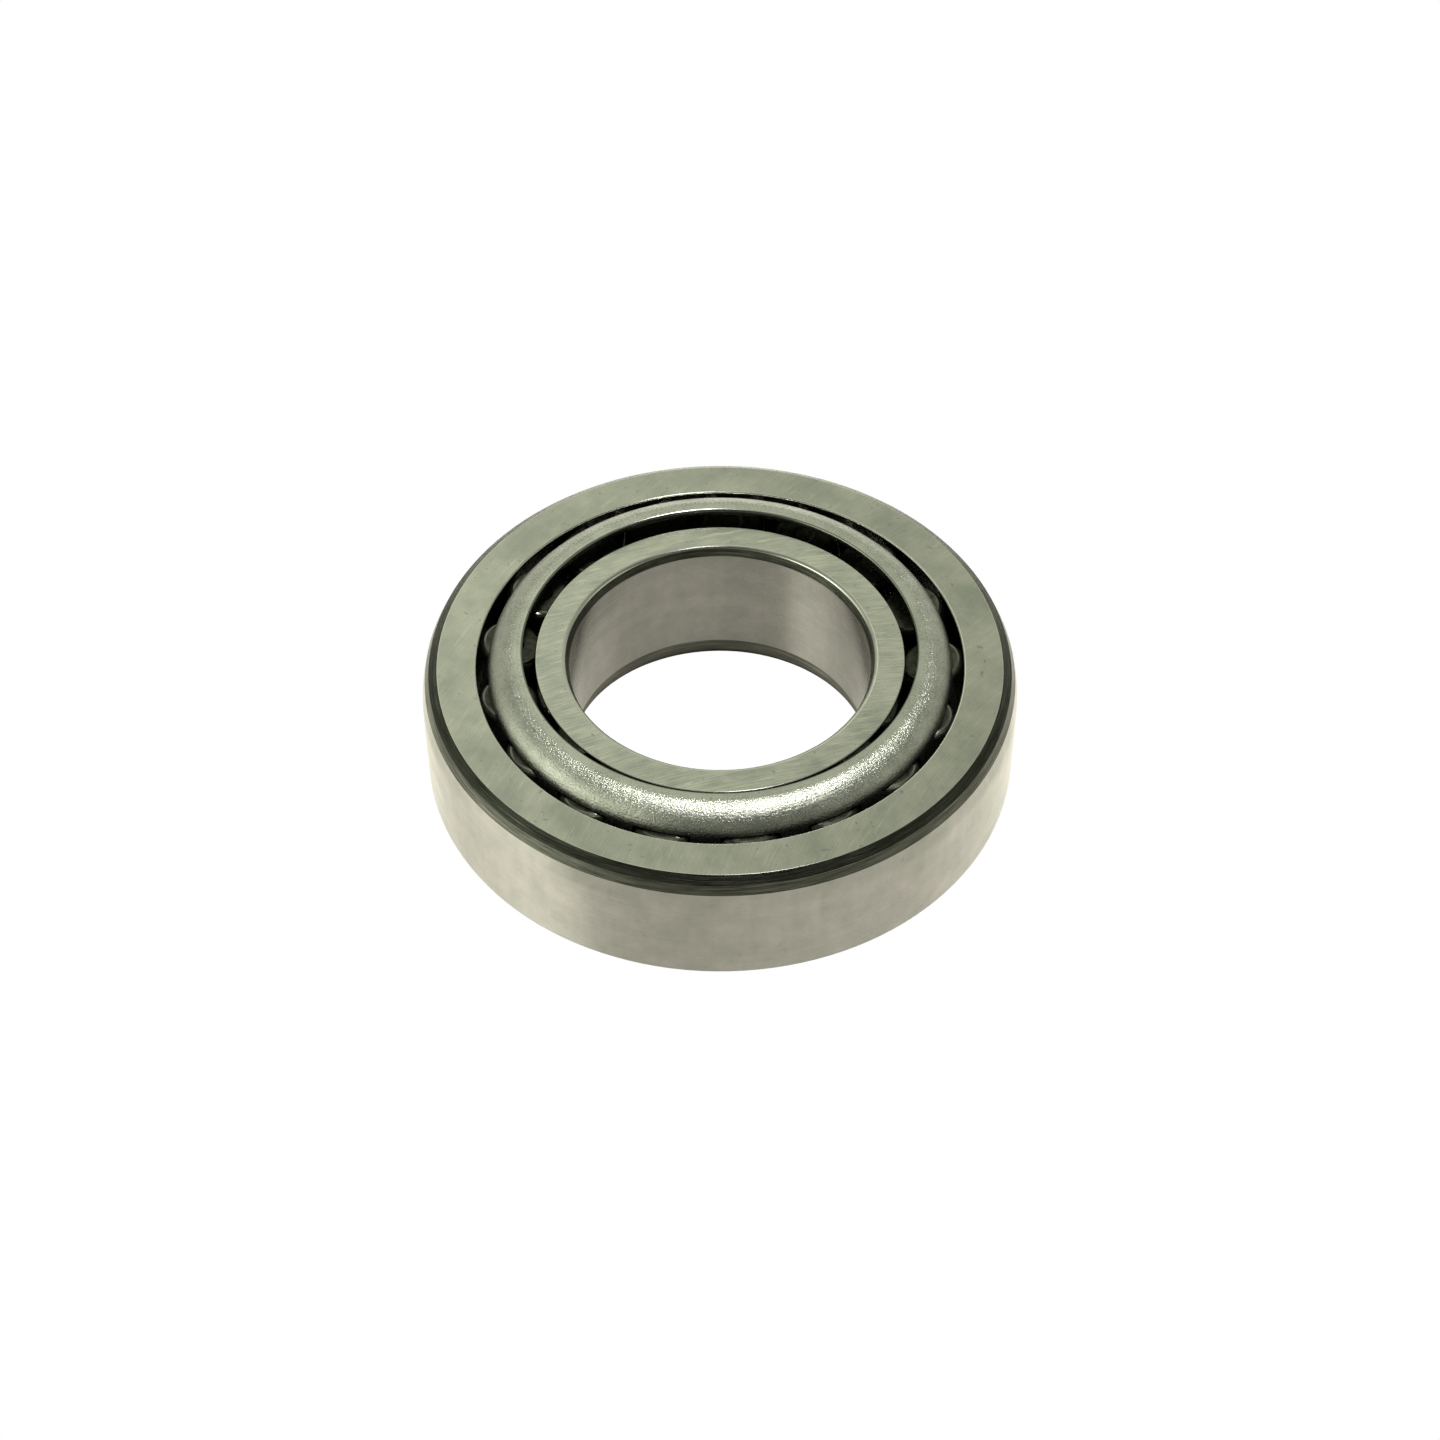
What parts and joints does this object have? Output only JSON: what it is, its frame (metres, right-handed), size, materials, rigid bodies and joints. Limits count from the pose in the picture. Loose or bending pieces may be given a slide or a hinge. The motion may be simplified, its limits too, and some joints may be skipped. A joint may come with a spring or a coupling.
{
  "type": "tapered roller bearing",
  "caption": "Single-row tapered roller bearing: inner ring with two ribs, outer ring, tapered rollers and a pressed steel cage, free to spin.",
  "frame": {"origin": "on the bearing axis, in the plane of the inner ring's back face, which is the lowest face", "axes": "+Z along the bearing axis, from the inner ring's back face towards the outer ring's back face and the rollers' small ends; the first roller lies towards -Y"},
  "size_m": [0.0502, 0.0502, 0.0158],
  "materials": {
    "ring_steel": "fine ground",
    "roller_steel": "polished",
    "cage_steel": "satin"
  },
  "bodies": {
    "cone": {"cone": "ring_steel"},
    "cup": {"cup": "ring_steel"},
    "cage": {"cage": "cage_steel"},
    "roller_01": {"roller_01": "roller_steel"},
    "roller_02": {"roller_02": "roller_steel"},
    "roller_03": {"roller_03": "roller_steel"},
    "roller_04": {"roller_04": "roller_steel"},
    "roller_05": {"roller_05": "roller_steel"},
    "roller_06": {"roller_06": "roller_steel"},
    "roller_07": {"roller_07": "roller_steel"},
    "roller_08": {"roller_08": "roller_steel"},
    "roller_09": {"roller_09": "roller_steel"},
    "roller_10": {"roller_10": "roller_steel"},
    "roller_11": {"roller_11": "roller_steel"},
    "roller_12": {"roller_12": "roller_steel"},
    "roller_13": {"roller_13": "roller_steel"},
    "roller_14": {"roller_14": "roller_steel"},
    "roller_15": {"roller_15": "roller_steel"},
    "roller_16": {"roller_16": "roller_steel"},
    "roller_17": {"roller_17": "roller_steel"}
  },
  "joints": [
    {"name": "cup_spin", "type": "hinge", "parent": "cone", "child": "cup", "pos_m": [0, 0, 0], "axis": [0, 0, 1], "continuous": true},
    {"name": "cage_spin", "type": "hinge", "parent": "cone", "child": "cage", "pos_m": [0, 0, 0], "axis": [0, 0, 1], "continuous": true},
    {"name": "roller_01_spin", "type": "hinge", "parent": "cage", "child": "roller_01", "pos_m": [0, -0.0198, 0.0039], "axis": [0, 0.2096, 0.9778], "continuous": true},
    {"name": "roller_02_spin", "type": "hinge", "parent": "cage", "child": "roller_02", "pos_m": [0.00715, -0.01846, 0.0039], "axis": [-0.0757, 0.1955, 0.9778], "continuous": true},
    {"name": "roller_03_spin", "type": "hinge", "parent": "cage", "child": "roller_03", "pos_m": [0.01334, -0.01463, 0.0039], "axis": [-0.1412, 0.1549, 0.9778], "continuous": true},
    {"name": "roller_04_spin", "type": "hinge", "parent": "cage", "child": "roller_04", "pos_m": [0.01772, -0.00882, 0.0039], "axis": [-0.1876, 0.0934, 0.9778], "continuous": true},
    {"name": "roller_05_spin", "type": "hinge", "parent": "cage", "child": "roller_05", "pos_m": [0.01971, -0.00183, 0.0039], "axis": [-0.2087, 0.0193, 0.9778], "continuous": true},
    {"name": "roller_06_spin", "type": "hinge", "parent": "cage", "child": "roller_06", "pos_m": [0.01904, 0.00542, 0.0039], "axis": [-0.2016, -0.0574, 0.9778], "continuous": true},
    {"name": "roller_07_spin", "type": "hinge", "parent": "cage", "child": "roller_07", "pos_m": [0.0158, 0.01193, 0.0039], "axis": [-0.1673, -0.1263, 0.9778], "continuous": true},
    {"name": "roller_08_spin", "type": "hinge", "parent": "cage", "child": "roller_08", "pos_m": [0.01042, 0.01683, 0.0039], "axis": [-0.1103, -0.1782, 0.9778], "continuous": true},
    {"name": "roller_09_spin", "type": "hinge", "parent": "cage", "child": "roller_09", "pos_m": [0.00364, 0.01946, 0.0039], "axis": [-0.0385, -0.206, 0.9778], "continuous": true},
    {"name": "roller_10_spin", "type": "hinge", "parent": "cage", "child": "roller_10", "pos_m": [-0.00364, 0.01946, 0.0039], "axis": [0.0385, -0.206, 0.9778], "continuous": true},
    {"name": "roller_11_spin", "type": "hinge", "parent": "cage", "child": "roller_11", "pos_m": [-0.01042, 0.01683, 0.0039], "axis": [0.1103, -0.1782, 0.9778], "continuous": true},
    {"name": "roller_12_spin", "type": "hinge", "parent": "cage", "child": "roller_12", "pos_m": [-0.0158, 0.01193, 0.0039], "axis": [0.1673, -0.1263, 0.9778], "continuous": true},
    {"name": "roller_13_spin", "type": "hinge", "parent": "cage", "child": "roller_13", "pos_m": [-0.01904, 0.00542, 0.0039], "axis": [0.2016, -0.0574, 0.9778], "continuous": true},
    {"name": "roller_14_spin", "type": "hinge", "parent": "cage", "child": "roller_14", "pos_m": [-0.01971, -0.00183, 0.0039], "axis": [0.2087, 0.0193, 0.9778], "continuous": true},
    {"name": "roller_15_spin", "type": "hinge", "parent": "cage", "child": "roller_15", "pos_m": [-0.01772, -0.00882, 0.0039], "axis": [0.1876, 0.0934, 0.9778], "continuous": true},
    {"name": "roller_16_spin", "type": "hinge", "parent": "cage", "child": "roller_16", "pos_m": [-0.01334, -0.01463, 0.0039], "axis": [0.1412, 0.1549, 0.9778], "continuous": true},
    {"name": "roller_17_spin", "type": "hinge", "parent": "cage", "child": "roller_17", "pos_m": [-0.00715, -0.01846, 0.0039], "axis": [0.0757, 0.1955, 0.9778], "continuous": true}
  ],
  "couplings": [
    {"joint": "cage_spin", "follows": "cup_spin", "ratio": 0.57737},
    {"joint": "roller_01_spin", "follows": "cup_spin", "ratio": 3.0838},
    {"joint": "roller_02_spin", "follows": "cup_spin", "ratio": 3.0838},
    {"joint": "roller_03_spin", "follows": "cup_spin", "ratio": 3.0838},
    {"joint": "roller_04_spin", "follows": "cup_spin", "ratio": 3.0838},
    {"joint": "roller_05_spin", "follows": "cup_spin", "ratio": 3.0838},
    {"joint": "roller_06_spin", "follows": "cup_spin", "ratio": 3.0838},
    {"joint": "roller_07_spin", "follows": "cup_spin", "ratio": 3.0838},
    {"joint": "roller_08_spin", "follows": "cup_spin", "ratio": 3.0838},
    {"joint": "roller_09_spin", "follows": "cup_spin", "ratio": 3.0838},
    {"joint": "roller_10_spin", "follows": "cup_spin", "ratio": 3.0838},
    {"joint": "roller_11_spin", "follows": "cup_spin", "ratio": 3.0838},
    {"joint": "roller_12_spin", "follows": "cup_spin", "ratio": 3.0838},
    {"joint": "roller_13_spin", "follows": "cup_spin", "ratio": 3.0838},
    {"joint": "roller_14_spin", "follows": "cup_spin", "ratio": 3.0838},
    {"joint": "roller_15_spin", "follows": "cup_spin", "ratio": 3.0838},
    {"joint": "roller_16_spin", "follows": "cup_spin", "ratio": 3.0838},
    {"joint": "roller_17_spin", "follows": "cup_spin", "ratio": 3.0838}
  ]
}
